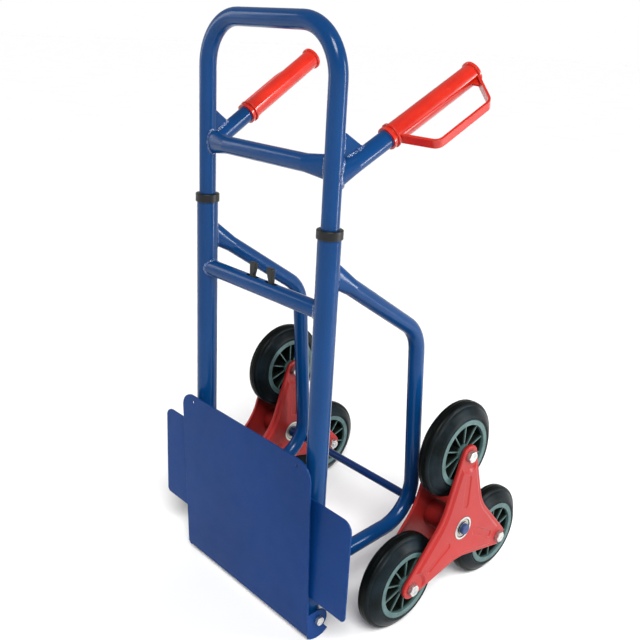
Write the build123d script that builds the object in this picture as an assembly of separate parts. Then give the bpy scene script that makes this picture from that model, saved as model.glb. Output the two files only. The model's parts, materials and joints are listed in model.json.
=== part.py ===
from build123d import *
import math
import os

# Stair climbing trolley, millimetres, +Z up, standing on the ground plane Z = 0.
# The pieces are drawn with Y = 0 in the plane of the two uprights, the toe plate on the -Y side and the
# wheels on the +Y side. Writing a piece then moves it so that the origin lies under the middle of the object.

# Tubes
UPRIGHT_X = 135.0
LOWER_R = 16.0
UPPER_R = 12.5
WALL = 1.5
LOWER_BOTTOM_Z = 21.0
LOWER_TOP_Z = 635.0
LOOP_TOP_Z = 891.7
LOOP_BEND_R = 68.0
LEG_BOTTOM_Z = 262.0
UPPER_BAR_Z = 717.3
LOWER_BAR_Z = 524.6

# Telescopic lock: the leg holes sit one step apart, and the bolts slide inside the lower crossbar
LOCK_STEP = 120.0
LOCK_HOLES = 3
LOCK_HOLE_R = 4.2
LOCK_BOLT_R = 4.0
LEVER_X = 21.5
LEVER_TRAVEL = 7.5
SLOT_X = (7.6, 35.0)
SLOT_WIDTH = 8.0
LOCK_TIP_GAP = 0.6
CARRIER_HALF = 6.0
LEVER_WIDTH = 7.5
LEVER_THICK = 6.4
LEVER_TOP = 34.0
LEVER_ROOT = 4.0
LEVER_WAIST = 15.0
LEVER_LIP = 7.0
LEVER_LIP_OUT = (4.5, 6.0)
LEVER_BACK_OUT = 0.5
LEVER_ROUND_R = 2.0
LEVER_EDGE = 0.8
BOLT_TIP_EDGE = 1.0
BOLT_SEAT = 4.0
SPRING_R = 6.0
SPRING_WIRE_R = 0.8
SPRING_TURNS = 5

# Sliding and turning fits, radial
RUNNING = 0.08
SIDE_GAP = 0.3

# Ends of a 25 mm tube squeezed tall and narrow where it is welded on: half width, half height, and length
SQUEEZED = (6.5, 17.5)
SQUEEZE_LENGTH = 38.0

# Bushes on top of the lower tubes, glides on the legs and plugs in the feet
COLLAR_T = 2.0
COLLAR_SKIRT = 7.5
COLLAR_ABOVE = 4.5
COLLAR_PLUG = 20.0
COLLAR_ROUND = 1.5
GLIDE_BELOW = 10.0
PLUG_LENGTH = 12.0
FOOT_PLUG = 7.0
FOOT_INSET = 0.2

# Rear frame tubes: the axis in the side view, from the upright out to the axle and back
REAR_TOP_Z = 583.0
REAR_CORNER_TOP = (197.5, 455.0)
REAR_CORNER_LOW = (227.0, 123.0)
REAR_END_Z = 111.5
REAR_BEND_TOP_R = 62.0
REAR_BEND_LOW_R = 65.0

# Axle and stars
AXLE_Y = 230.5
AXLE_Z = 144.5
AXLE_R = 7.0
AXLE_HALF = 244.0
SPACER_T = 3.0
CAP_T = 2.0
CAP_CLOSED = 3.0
ARM = 129.0
ARM_ANGLES = {"top": 90, "front": 210, "rear": 330}
ARM_END_R = 17.5
ARM_TAPER_DEG = 17.5
STAR_FILLET_R = 100.0
PLATE_T = 2.5
PRESS_R = 2.2
LIP = 5.5
PAD_INSET = 6.0
PAD_RAISE = 3.0
PAD_SLOPE_DEG = 55.0
BOLT_SEAT_R = 24.0
CHANNEL = (34.0, 96.0)
CHANNEL_WIDTH = 15.0
CHANNEL_DEPTH = 1.4
BOLT_HOLE_GAP = 0.25
WHEEL_X = 206.0
PLATE_GAP = 57.5
HUB_TUBE_R = 22.5
BEARING_R = 20.0
BEARING_W = 11.0
BEARING_PROUD = 3.5
SHIELD_R = (10.5, 16.0)
SHIELD_DEPTH = 1.0

# Wheels
TYRE_R = 80.0
TREAD_HALF = 7.0
TREAD_ROUND_R = 5.0
TYRE_HALF = 20.0
SIDEWALL_R = 61.0
SIDEWALL_ROUND_R = 9.0
RIM_R = 55.0
RIM_INNER_R = 46.5
RIM_HALF = 20.4
RIM_EDGE = 0.8
WEB_T = 3.0
SPOKES = 10
SPOKE_T = 1.8
SPOKE_W = 34.0
WHEEL_HUB_R = 13.5
WHEEL_HUB_L = 54.0
MOULDED_INTO = 1.0
SLEEVE_R = 8.0
WHEEL_BOLT_R = 5.0
M10_FLATS = 17.0
M10_HEAD = 6.4
M10_NUT = 8.0
THREAD_BEYOND = 10.0

# Back plate
BACK_W = 456.0
BACK_Z = (82.0, 249.0)
BACK_T = 2.5
BACK_TOP_R = 16.0
BACK_LOW_R = 8.0

# Toe plate, folded up; drawn upright about its pivot, then leaned forward
PIVOT_Z = 33.0
TOE_LEAN_DEG = 2.2
TOE_W = 314.0
TOE_T = 2.5
TOE_BACK = 20.3
TOE_LOW = -20.0
TOE_TOP = 280.0
TOE_CORNER_R = 28.0
TOE_LOW_CORNER_R = 5.0
TOE_HOLE_X = 128.0
TOE_HOLE_DROP = 12.0
TOE_HOLE_R = 3.0
EAR_R = 18.0
EAR_INTO_PLATE = 0.5
HEEL_R = 32.5
HEEL_BACK_DEG = 38.0
HINGE_R = 4.0
M8_FLATS = 13.0
M8_HEAD = 5.3
M8_NUT = 7.5
HINGE_WASHER_R = 9.0
NUT_GAP = 0.2
FOOT_ROUND_R = 20.0

# Side handles: the right one; the left is its mirror image
GRIP_START = Vector(147.5, 81.1, 751.6)
GRIP_END = Vector(163.3, 227.7, 835.0)
ARM_LENGTH = 89.0
ARM_SQUEEZE = 30.0
ARM_ROOT = (8.2, 15.0)
ARM_END_GAP = 6.0
ARM_X_AT_GUSSET = 143.3
GUSSET_TOP_Z = 761.0
GUSSET_REACH = 42.0
GUSSET_DROP = 17.0
GUSSET_T = 2.5
GUSSET_FOOT_Z = 711.6
GUSSET_TOP_FLAT = 12.0
GUSSET_END_H = 14.0
GRIP_R = 14.7
GRIP_ROOT_R = 15.8
GRIP_RING_R = 17.3
GRIP_RING_T = 3.5
GRIP_FLANGE_T = 5.0
GRIP_RING_EDGE = 0.8
GRIP_FLANGE_EDGE = 1.2
GUARD_OUT = 59.0
GUARD_TILT_DEG = -21.0
GUARD_FROM = 34.6
GUARD_TO = 134.9
GUARD_ROOT = 13.0
GUARD_W = 13.5
GUARD_T = 3.5
GUARD_CORNER_R = 13.0
GUARD_INTO_GRIP = 1.5
BRACE_T = 3.0
BRACE_OUT = 13.0
BRACE_FROM_END = (20.0, 14.0, 4.0)

# Front and rear of the whole object: the leaned edge of the toe plate and the rear tyres
TOE_LEAN = math.radians(TOE_LEAN_DEG)
FRONT_Y = -(TOE_BACK + TOE_T) * math.cos(TOE_LEAN) - TOE_TOP * math.sin(TOE_LEAN)
REAR_Y = AXLE_Y + ARM * math.cos(math.pi / 6) + TYRE_R
ORIGIN_Y = (FRONT_Y + REAR_Y) / 2

# Vertical stretch of leg that the arms, the gussets and the upper crossbar are coped around
LEG_CUT = (650.0, 790.0)

SIDES = {"left": -1, "right": 1}
BASE = (Align.CENTER, Align.CENTER, Align.MIN)


def write(name, *solids):
    """Write one node, moved to the shared origin."""
    moved = [Pos(0, -ORIGIN_Y, 0) * solid for piece in solids for solid in piece.solids()]
    export_step(moved[0] if len(moved) == 1 else Compound(children=moved), f"parts/{name}.step")


def on_side(shape, side):
    """Give a piece drawn on the right its mirror image for the left."""
    return shape if SIDES[side] > 0 else mirror(shape, about=Plane.YZ)


def rod_x(radius, x0, x1, y=0.0, z=0.0):
    return Pos(x0, y, z) * Rot(0, 90, 0) * Cylinder(radius, x1 - x0, align=BASE)


def rod_z(radius, z0, z1, x=0.0, y=0.0):
    return Pos(x, y, z0) * Cylinder(radius, z1 - z0, align=BASE)


def hexagon_x(across_flats, x0, x1, y, z, corner=0.8):
    """Hexagonal prism along X with its outer corners turned down."""
    radius = across_flats / math.sqrt(3)
    prism = extrude(Plane.YZ.offset(x0) * RegularPolygon(radius, 6), x1 - x0)
    turned = chamfer(rod_x(radius, x0, x1).edges(), corner)
    return Pos(0, y, z) * (prism & turned)


def pipe(path, radius, wall=WALL):
    """Hollow tube along a path."""
    start = Plane(origin=path @ 0, z_dir=path % 0)
    section = Circle(radius) - Circle(radius - wall)
    return sweep(start * section, path=path)


def squeezed_end(root, round_end, half_sizes, shrink):
    """Solid that turns from an ellipse at the root into the round of a 25 mm tube."""
    ellipse = Ellipse(half_sizes[0] - shrink, half_sizes[1] - shrink)
    return loft([root * ellipse, round_end * Circle(UPPER_R - shrink)])


def hollow(body):
    """Tube wall of a solid given by body(shrink)."""
    return body(0) - body(WALL)


def legs(radius, z0, z1):
    return rod_z(radius, z0, z1, -UPRIGHT_X) + rod_z(radius, z0, z1, UPRIGHT_X)


# ---- main frame ----------------------------------------------------------------------------------------

def lower_tube():
    """Outer tube of one upright, with the lock hole and the hinge hole."""
    inside, outside = UPRIGHT_X - LOWER_R - 1, UPRIGHT_X + LOWER_R + 1
    tube = rod_z(LOWER_R, LOWER_BOTTOM_Z, LOWER_TOP_Z, UPRIGHT_X)
    tube -= rod_z(LOWER_R - WALL, LOWER_BOTTOM_Z, LOWER_TOP_Z, UPRIGHT_X)
    tube -= rod_x(LOCK_BOLT_R + RUNNING, inside, UPRIGHT_X, 0, LOWER_BAR_Z)
    return tube - rod_x(HINGE_R, inside, outside, 0, PIVOT_Z)


def tube_collar():
    """Plastic bush that caps the outer tube and guides the leg."""
    skirt_bottom = LOWER_TOP_Z - COLLAR_SKIRT
    plug_bottom = skirt_bottom - COLLAR_PLUG
    top = LOWER_TOP_Z + COLLAR_ABOVE
    cap = rod_z(LOWER_R + COLLAR_T, skirt_bottom, top, UPRIGHT_X)
    cap = fillet(cap.edges().group_by(Axis.Z)[-1], COLLAR_ROUND)
    cap -= rod_z(LOWER_R, skirt_bottom, LOWER_TOP_Z, UPRIGHT_X)
    cap += rod_z(LOWER_R - WALL, plug_bottom, LOWER_TOP_Z, UPRIGHT_X)
    return cap - rod_z(UPPER_R + RUNNING, plug_bottom, top, UPRIGHT_X)


def tube_foot():
    """Plastic plug whose rounded underside the toe plate swings around."""
    foot = rod_z(LOWER_R - FOOT_INSET, PIVOT_Z - FOOT_ROUND_R, LOWER_BOTTOM_Z, UPRIGHT_X)
    foot &= rod_x(FOOT_ROUND_R, UPRIGHT_X - LOWER_R, UPRIGHT_X + LOWER_R, 0, PIVOT_Z)
    return foot + rod_z(LOWER_R - WALL, LOWER_BOTTOM_Z, LOWER_BOTTOM_Z + FOOT_PLUG, UPRIGHT_X)


def lower_crossbar():
    """Crossbar with a slot for each release lever."""
    bar = rod_x(UPPER_R, -UPRIGHT_X, UPRIGHT_X, 0, LOWER_BAR_Z)
    bar -= rod_x(UPPER_R - WALL, -UPRIGHT_X, UPRIGHT_X, 0, LOWER_BAR_Z)
    bar -= legs(LOWER_R, LOWER_BAR_Z - LOWER_R, LOWER_BAR_Z + LOWER_R)
    for way in (-1, 1):
        middle = way * (SLOT_X[0] + SLOT_X[1]) / 2
        slot = extrude(SlotOverall(SLOT_X[1] - SLOT_X[0], SLOT_WIDTH), UPPER_R + 1)
        bar -= Pos(middle, 0, LOWER_BAR_Z) * slot
    return bar


def rear_tube():
    """Tube squeezed against the upright, bent out to the axle and back to the foot of the upright."""
    top = Vector(UPRIGHT_X, 0, REAR_TOP_Z)
    corner = Vector(UPRIGHT_X, *REAR_CORNER_TOP)
    away = (corner - top).normalized()

    def across(distance):
        return Plane(origin=top + away * distance, x_dir=(1, 0, 0), z_dir=away)

    squeeze_from, squeeze_to = LOWER_R / 2, LOWER_R + SQUEEZE_LENGTH
    path = FilletPolyline(top + away * squeeze_to, corner, (UPRIGHT_X, *REAR_CORNER_LOW),
                          (UPRIGHT_X, 0, REAR_END_Z), radius=[REAR_BEND_TOP_R, REAR_BEND_LOW_R])
    tube = pipe(path, UPPER_R)
    tube += hollow(lambda shrink: squeezed_end(across(squeeze_from), across(squeeze_to), SQUEEZED, shrink))
    tube -= rod_z(LOWER_R, 0, LOWER_TOP_Z, UPRIGHT_X)
    return tube - rod_x(AXLE_R, UPRIGHT_X - LOWER_R, UPRIGHT_X + LOWER_R, AXLE_Y, AXLE_Z)


def back_plate():
    """Wide sheet across the front of both uprights."""
    height = BACK_Z[1] - BACK_Z[0]
    outline = Rectangle(BACK_W, height)
    outline = fillet(outline.vertices().group_by(Axis.Y)[-1], BACK_TOP_R)
    outline = fillet(outline.vertices().group_by(Axis.Y)[0], BACK_LOW_R)
    plane = Plane(origin=(0, -LOWER_R, BACK_Z[0] + height / 2), x_dir=(1, 0, 0), z_dir=(0, -1, 0))
    return extrude(plane * outline, BACK_T)


def axle_spacer():
    """Tube that keeps the star off the rear frame."""
    start = UPRIGHT_X + UPPER_R + NUT_GAP
    end = inner_face() - PLATE_T - BEARING_PROUD - SIDE_GAP
    return rod_x(AXLE_R + SPACER_T, start, end, AXLE_Y, AXLE_Z) - rod_x(AXLE_R, start, end, AXLE_Y, AXLE_Z)


def axle_end_cap():
    """Push-on cap over the end of the axle."""
    start = outer_face() + PLATE_T + BEARING_PROUD + SIDE_GAP
    cap = rod_x(AXLE_R + CAP_T, start, AXLE_HALF + CAP_CLOSED, AXLE_Y, AXLE_Z)
    cap = fillet(cap.edges().group_by(Axis.X)[-1], CAP_T)
    return cap - rod_x(AXLE_R, start, AXLE_HALF, AXLE_Y, AXLE_Z)


def hinge_bolt():
    head_x = TOE_W / 2 + SIDE_GAP
    head = hexagon_x(M8_FLATS, head_x, head_x + M8_HEAD, 0, PIVOT_Z)
    return head + rod_x(HINGE_R, UPRIGHT_X - LOWER_R - THREAD_BEYOND, head_x, 0, PIVOT_Z)


def hinge_nut():
    end = UPRIGHT_X - LOWER_R - NUT_GAP
    return hexagon_x(M8_FLATS, end - M8_NUT, end, 0, PIVOT_Z) - rod_x(HINGE_R, end - M8_NUT, end, 0, PIVOT_Z)


def hinge_spacer():
    """Washer between the upright and the ear of the toe plate."""
    start, end = UPRIGHT_X + LOWER_R, TOE_W / 2 - TOE_T - SIDE_GAP
    return rod_x(HINGE_WASHER_R, start, end, 0, PIVOT_Z) - rod_x(HINGE_R, start, end, 0, PIVOT_Z)


# ---- telescopic lock -----------------------------------------------------------------------------------

def release_lever():
    """Finger lever: a carrier inside the crossbar and a wedge-shaped top above the slot."""
    inner, outer = LEVER_X - LEVER_WIDTH / 2, LEVER_X + LEVER_WIDTH / 2
    carrier = rod_x(UPPER_R - WALL - SIDE_GAP, LEVER_X - CARRIER_HALF, LEVER_X + CARRIER_HALF, 0, LOWER_BAR_Z)
    lip_low, lip_top = LEVER_LIP_OUT
    profile = Polygon((outer, LEVER_ROOT), (outer + LEVER_BACK_OUT, LEVER_TOP), (inner - lip_top, LEVER_TOP),
                      (inner - lip_low, LEVER_TOP - LEVER_LIP), (inner, LEVER_WAIST), (inner, LEVER_ROOT),
                      align=None)
    profile = fillet(profile.vertices().group_by(Axis.Y)[-1], LEVER_ROUND_R)
    finger = extrude(Plane.XZ * profile, LEVER_THICK / 2, both=True)
    finger = chamfer(finger.edges().group_by(Axis.Z)[-1], LEVER_EDGE)
    lever = carrier + Pos(0, 0, LOWER_BAR_Z) * finger
    return lever - rod_x(LOCK_BOLT_R, LEVER_X - BOLT_SEAT, LEVER_X + CARRIER_HALF, 0, LOWER_BAR_Z)


def lock_bolt():
    """Steel rod that the lever carries; its tip is drawn clear of the leg."""
    tip = UPRIGHT_X - UPPER_R - LOCK_TIP_GAP
    bolt = rod_x(LOCK_BOLT_R, LEVER_X - BOLT_SEAT, tip, 0, LOWER_BAR_Z)
    return chamfer(bolt.edges().group_by(Axis.X)[-1], BOLT_TIP_EDGE)


def lock_spring():
    """Coil between the two levers, drawn at its pinched length."""
    half = LEVER_X - CARRIER_HALF - LEVER_TRAVEL - SIDE_GAP - SPRING_WIRE_R
    path = Helix(pitch=2 * half / SPRING_TURNS, height=2 * half, radius=SPRING_R)
    start = Plane(origin=path @ 0, z_dir=path % 0)
    coil = sweep(start * Circle(SPRING_WIRE_R), path=path, is_frenet=True)
    return Pos(-half, 0, LOWER_BAR_Z) * Rot(0, 90, 0) * coil


# ---- handle --------------------------------------------------------------------------------------------

def top_loop():
    """Inverted U whose legs slide in the lower tubes."""
    points = [(-UPRIGHT_X, 0, LEG_BOTTOM_Z), (-UPRIGHT_X, 0, LOOP_TOP_Z),
              (UPRIGHT_X, 0, LOOP_TOP_Z), (UPRIGHT_X, 0, LEG_BOTTOM_Z)]
    loop = pipe(FilletPolyline(*points, radius=LOOP_BEND_R), UPPER_R)
    for step in range(LOCK_HOLES):
        z = LOWER_BAR_Z - step * LOCK_STEP
        loop -= rod_x(LOCK_HOLE_R, -UPRIGHT_X, UPRIGHT_X, 0, z)
    return loop


def upper_crossbar():
    """Crossbar between the legs, squeezed at both ends."""
    end_x = UPRIGHT_X - UPPER_R / 3
    round_x = UPRIGHT_X - UPPER_R - SQUEEZE_LENGTH

    def body(shrink):
        bar = rod_x(UPPER_R - shrink, -round_x, round_x, 0, UPPER_BAR_Z)
        for way in (-1, 1):
            root = Plane(origin=(way * end_x, 0, UPPER_BAR_Z), x_dir=(0, 1, 0), z_dir=(way, 0, 0))
            round_end = Plane(origin=(way * round_x, 0, UPPER_BAR_Z), x_dir=(0, 1, 0), z_dir=(way, 0, 0))
            bar += squeezed_end(root, round_end, SQUEEZED, shrink)
        return bar

    return hollow(body) - legs(UPPER_R, *LEG_CUT)


def leg_guide():
    """Plastic glide on the foot of each leg."""
    guide = rod_z(LOWER_R - WALL - SIDE_GAP, LEG_BOTTOM_Z - GLIDE_BELOW, LEG_BOTTOM_Z, UPRIGHT_X)
    return guide + rod_z(UPPER_R - WALL, LEG_BOTTOM_Z, LEG_BOTTOM_Z + PLUG_LENGTH, UPRIGHT_X)


def grip_axis():
    return (GRIP_END - GRIP_START).normalized()


def grip_plane():
    """Local Z along the grip, local X out towards the guard."""
    axis = grip_axis()
    out = axis.cross(Vector(0, 0, 1)).normalized()
    tilt = math.radians(GUARD_TILT_DEG)
    towards_guard = out * math.cos(tilt) + out.cross(axis) * math.sin(tilt)
    return Plane(origin=GRIP_START, x_dir=towards_guard, z_dir=axis)


def grip_length():
    return (GRIP_END - GRIP_START).length


def arm_body(shrink):
    """Solid of the arm: round along the grip, squeezed tall and narrow towards the leg."""
    axis = grip_axis()

    def across(distance):
        return Plane(origin=GRIP_START + axis * distance, x_dir=axis.cross(Vector(0, 0, 1)), z_dir=axis)

    round_from = ARM_SQUEEZE - ARM_LENGTH
    body = extrude(across(round_from) * Circle(UPPER_R - shrink), grip_length() - ARM_END_GAP - round_from)
    return body + squeezed_end(across(-ARM_LENGTH), across(round_from), ARM_ROOT, shrink)


def side_handle():
    """Straight arm from the leg into the grip, squeezed and coped where it is welded on."""
    return hollow(arm_body) - rod_z(UPPER_R, *LEG_CUT, UPRIGHT_X)


def gusset():
    """Web in the corner between the leg and the arm."""
    start_y = UPPER_R / 3
    profile = Polyline((start_y, GUSSET_TOP_Z), (start_y + GUSSET_TOP_FLAT, GUSSET_TOP_Z),
                       (GUSSET_REACH, GUSSET_TOP_Z - GUSSET_DROP),
                       (GUSSET_REACH, GUSSET_FOOT_Z + GUSSET_END_H),
                       (start_y, GUSSET_FOOT_Z), close=True)
    web = extrude(Plane.YZ * make_face(profile), GUSSET_T / 2, both=True)
    splay = math.degrees(math.atan2(ARM_X_AT_GUSSET - UPRIGHT_X, GUSSET_REACH))
    web = Pos(UPRIGHT_X, 0, 0) * Rot(0, 0, -splay) * web
    return web - rod_z(UPPER_R, *LEG_CUT, UPRIGHT_X) - arm_body(0)


def grip():
    """Moulded grip with two rings, an end flange and a strap-like hand guard."""
    length = grip_length()
    body = rod_z(GRIP_R, 0, length)
    body += rod_z(GRIP_ROOT_R, 0, GRIP_RING_T)
    body += chamfer(rod_z(GRIP_RING_R, 2 * GRIP_RING_T, 3 * GRIP_RING_T).edges(), GRIP_RING_EDGE)
    body += chamfer(rod_z(GRIP_RING_R, length - GRIP_FLANGE_T, length).edges(), GRIP_FLANGE_EDGE)
    root = GRIP_R - GUARD_INTO_GRIP
    strap = FilletPolyline((root, 0, GUARD_ROOT), (GUARD_OUT, 0, GUARD_FROM),
                           (GUARD_OUT, 0, GUARD_TO), (root, 0, length - GRIP_FLANGE_T),
                           radius=GUARD_CORNER_R)
    start = Plane(origin=strap @ 0, x_dir=(0, 1, 0), z_dir=strap % 0)
    body += sweep(start * Rectangle(GUARD_W, GUARD_T), path=strap)
    near, tip, far = (length - distance for distance in BRACE_FROM_END)
    brace = Polygon((root, near), (root, far), (GRIP_R + BRACE_OUT, tip), align=None)
    body += extrude(Plane.XZ * brace, BRACE_T / 2, both=True)
    body -= rod_z(UPPER_R, 0, length - ARM_END_GAP)
    return grip_plane() * body


# ---- toe plate -----------------------------------------------------------------------------------------

def toe_plate():
    """Sheet with a turned ear at each side, hinged on the feet of the uprights."""
    height = TOE_TOP - TOE_LOW
    outline = Rectangle(TOE_W, height)
    outline = fillet(outline.vertices().group_by(Axis.Y)[-1], TOE_CORNER_R)
    outline = fillet(outline.vertices().group_by(Axis.Y)[0], TOE_LOW_CORNER_R)
    for way in (-1, 1):
        outline -= Pos(way * TOE_HOLE_X, height / 2 - TOE_HOLE_DROP) * Circle(TOE_HOLE_R)
    face = Plane(origin=(0, -TOE_BACK, TOE_LOW + height / 2), x_dir=(1, 0, 0), z_dir=(0, -1, 0))
    plate = extrude(face * outline, TOE_T)
    for way in (-1, 1):
        plate += Pos(way * (TOE_W / 2 - TOE_T / 2), 0, 0) * toe_ear()
    return Pos(0, 0, PIVOT_Z) * Rot(TOE_LEAN_DEG, 0, 0) * plate


def toe_ear():
    """Rounded ear about the pivot with a heel that stands on the ground."""
    back = math.radians(HEEL_BACK_DEG)
    heel_tip = (HEEL_R * math.sin(back), -HEEL_R * math.cos(back))
    front = -TOE_BACK - EAR_INTO_PLATE
    heel_front = (front, -math.sqrt(HEEL_R ** 2 - front ** 2))
    outline = Circle(EAR_R)
    edge = Polyline((0, 0), heel_tip) + Polyline((0, 0), heel_front)
    edge += ThreePointArc(heel_front, (0, -HEEL_R), heel_tip)
    outline += make_face(edge)
    outline += Polygon((front, heel_front[1]), (front, EAR_R), (0, EAR_R), (0, 0), align=None)
    outline -= Circle(HINGE_R + RUNNING)
    return extrude(Plane.YZ * outline, TOE_T / 2, both=True)


# ---- star clusters -------------------------------------------------------------------------------------

def inner_face():
    return WHEEL_X - PLATE_GAP / 2


def outer_face():
    return WHEEL_X + PLATE_GAP / 2


def arm_points():
    """Wheel centres about the axle: one on top, one low at the front, one low at the back."""
    turned = {name: math.radians(angle) for name, angle in ARM_ANGLES.items()}
    return {name: (ARM * math.cos(angle), ARM * math.sin(angle)) for name, angle in turned.items()}


def star_outline():
    """Three tapered arms with round ends and filleted hollows between them."""
    taper = math.radians(ARM_TAPER_DEG)
    half = ARM_END_R / math.cos(taper)
    slope = math.tan(taper)
    hollow = (half + slope * ARM) / (math.sin(math.pi / 3) + slope * math.cos(math.pi / 3))
    corners = []
    for angle in ARM_ANGLES.values():
        along = Vector(1, 0).rotate(Axis.Z, angle)
        across = Vector(0, 1).rotate(Axis.Z, angle)
        tip = along * (ARM + ARM_END_R * math.sin(taper))
        corners.append(Vector(1, 0).rotate(Axis.Z, angle - 60) * hollow)
        corners.append(tip - across * (ARM_END_R * math.cos(taper)))
        corners.append(tip + across * (ARM_END_R * math.cos(taper)))
    outline = make_face(Polyline(*corners, close=True))
    near = [v for v in outline.vertices() if Vector(v).length < ARM / 1.5]
    outline = fillet(near, STAR_FILLET_R)
    for y, z in arm_points().values():
        outline += Pos(y, z) * Circle(ARM_END_R)
    return outline


def arm_channel():
    """Shallow channel pressed into the raised pad, along the upper arm."""
    start, end = CHANNEL
    pad_top = Plane(origin=(PLATE_T + PAD_RAISE, 0, (start + end) / 2), x_dir=(0, 0, 1), z_dir=(-1, 0, 0))
    return extrude(pad_top * SlotOverall(end - start, CHANNEL_WIDTH), CHANNEL_DEPTH, taper=PAD_SLOPE_DEG)


def star_plate(face_x, outward):
    """Pressed star plate whose lip turns towards the wheels and whose pad is raised away from them."""
    outline = star_outline()
    lip_x = PLATE_T - LIP
    pressing = extrude(Plane.YZ.offset(lip_x) * outline, LIP)
    pressing = fillet(pressing.edges().group_by(Axis.X)[-1], PRESS_R)
    pressing -= extrude(Plane.YZ.offset(lip_x) * offset(outline, -PLATE_T), LIP - PLATE_T)
    pad = offset(outline, -PAD_INSET)
    for y, z in arm_points().values():
        pad -= Pos(y, z) * Circle(BOLT_SEAT_R)
    pressing += extrude(Plane.YZ.offset(PLATE_T) * pad, PAD_RAISE, taper=PAD_SLOPE_DEG)
    for angle in ARM_ANGLES.values():
        pressing -= Rot(angle - ARM_ANGLES["top"], 0, 0) * arm_channel()
    pressing -= rod_x(BEARING_R, -LIP, LIP)
    for y, z in arm_points().values():
        pressing -= rod_x(WHEEL_BOLT_R + BOLT_HOLE_GAP, -LIP, LIP, y, z)
    if outward < 0:
        pressing = mirror(pressing, about=Plane.YZ)
    return Pos(face_x, AXLE_Y, AXLE_Z) * pressing


def hub_tube():
    tube = rod_x(HUB_TUBE_R, inner_face(), outer_face(), AXLE_Y, AXLE_Z)
    return tube - rod_x(BEARING_R, inner_face(), outer_face(), AXLE_Y, AXLE_Z)


def bearing(start):
    """Ball bearing with a sunk shield on both faces."""
    end = start + BEARING_W
    ring = rod_x(BEARING_R, start, end) - rod_x(AXLE_R + RUNNING, start, end)
    for x0, x1 in ((start, start + SHIELD_DEPTH), (end - SHIELD_DEPTH, end)):
        ring -= rod_x(SHIELD_R[1], x0, x1) - rod_x(SHIELD_R[0], x0, x1)
    return Pos(0, AXLE_Y, AXLE_Z) * ring


def star_bearings():
    inner_start = inner_face() - PLATE_T - BEARING_PROUD
    outer_start = outer_face() + PLATE_T + BEARING_PROUD - BEARING_W
    return bearing(inner_start), bearing(outer_start)


def wheel_centre(name):
    y, z = arm_points()[name]
    return AXLE_Y + y, AXLE_Z + z


def wheel_bolt(name):
    y, z = wheel_centre(name)
    head_x = outer_face() + PLATE_T
    bolt = hexagon_x(M10_FLATS, head_x, head_x + M10_HEAD, y, z)
    return bolt + rod_x(WHEEL_BOLT_R, inner_face() - PLATE_T - THREAD_BEYOND, head_x, y, z)


def wheel_nut(name):
    y, z = wheel_centre(name)
    end = inner_face() - PLATE_T
    return hexagon_x(M10_FLATS, end - M10_NUT, end, y, z) - rod_x(WHEEL_BOLT_R, end - M10_NUT, end, y, z)


def wheel_sleeve(name):
    y, z = wheel_centre(name)
    sleeve = rod_x(SLEEVE_R, inner_face(), outer_face(), y, z)
    return sleeve - rod_x(WHEEL_BOLT_R, inner_face(), outer_face(), y, z)


# ---- wheels --------------------------------------------------------------------------------------------

def tyre():
    """Solid rubber tyre about the X axis: narrow tread, sidewalls spreading down to the rim."""
    profile = Polygon((-TYRE_HALF, RIM_R), (-TYRE_HALF, SIDEWALL_R), (-TREAD_HALF, TYRE_R),
                      (TREAD_HALF, TYRE_R), (TYRE_HALF, SIDEWALL_R), (TYRE_HALF, RIM_R), align=None)
    by_radius = profile.vertices().group_by(Axis.Y)
    profile = fillet(by_radius[-1], TREAD_ROUND_R)
    profile = fillet(profile.vertices().filter_by(lambda v: abs(v.Y - SIDEWALL_R) < 0.1), SIDEWALL_ROUND_R)
    return revolve(profile, Axis.X)


def wheel_rim():
    """Moulded rim: long hub, thin web, radial ribs and an outer ring, about the X axis."""
    ring = rod_x(RIM_R, -RIM_HALF, RIM_HALF) - rod_x(RIM_INNER_R, -RIM_HALF, RIM_HALF)
    rim = chamfer(ring.edges(), RIM_EDGE)
    rim += rod_x(RIM_INNER_R + MOULDED_INTO, -WEB_T / 2, WEB_T / 2)
    for number in range(SPOKES):
        spoke = Box(SPOKE_W, SPOKE_T, RIM_INNER_R - WHEEL_HUB_R + 2 * MOULDED_INTO, align=BASE)
        rim += Rot(360 / SPOKES * number, 0, 0) * Pos(0, 0, WHEEL_HUB_R - MOULDED_INTO) * spoke
    rim += rod_x(WHEEL_HUB_R, -WHEEL_HUB_L / 2, WHEEL_HUB_L / 2)
    return rim - rod_x(SLEEVE_R + RUNNING, -WHEEL_HUB_L / 2, WHEEL_HUB_L / 2)


# ---- write the nodes -----------------------------------------------------------------------------------

def write_pair(name, make):
    """One node that holds the left and the right copy of a small piece."""
    write(name, *[on_side(make(), side) for side in SIDES])


def write_frame():
    for side in SIDES:
        write(f"lower_tube_{side}", on_side(lower_tube(), side))
        write(f"tube_collar_{side}", on_side(tube_collar(), side))
        write(f"rear_tube_{side}", on_side(rear_tube(), side))
    write("lower_crossbar", lower_crossbar())
    write("back_plate", back_plate())
    write("axle", rod_x(AXLE_R, -AXLE_HALF, AXLE_HALF, AXLE_Y, AXLE_Z))
    write("lock_spring", lock_spring())
    write_pair("tube_feet", tube_foot)
    write_pair("axle_spacers", axle_spacer)
    write_pair("axle_end_caps", axle_end_cap)
    write_pair("hinge_bolts", hinge_bolt)
    write_pair("hinge_nuts", hinge_nut)
    write_pair("hinge_spacers", hinge_spacer)


def write_handle():
    write("top_loop", top_loop())
    write("upper_crossbar", upper_crossbar())
    write_pair("leg_guides", leg_guide)
    for side in SIDES:
        write(f"side_handle_{side}", on_side(side_handle(), side))
        write(f"gusset_{side}", on_side(gusset(), side))
        write(f"grip_{side}", on_side(grip(), side))


def write_lock_and_toe_plate():
    for side in SIDES:
        write(f"release_lever_{side}", on_side(release_lever(), side))
        write(f"lock_bolt_{side}", on_side(lock_bolt(), side))
    write("toe_plate", toe_plate())


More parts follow.
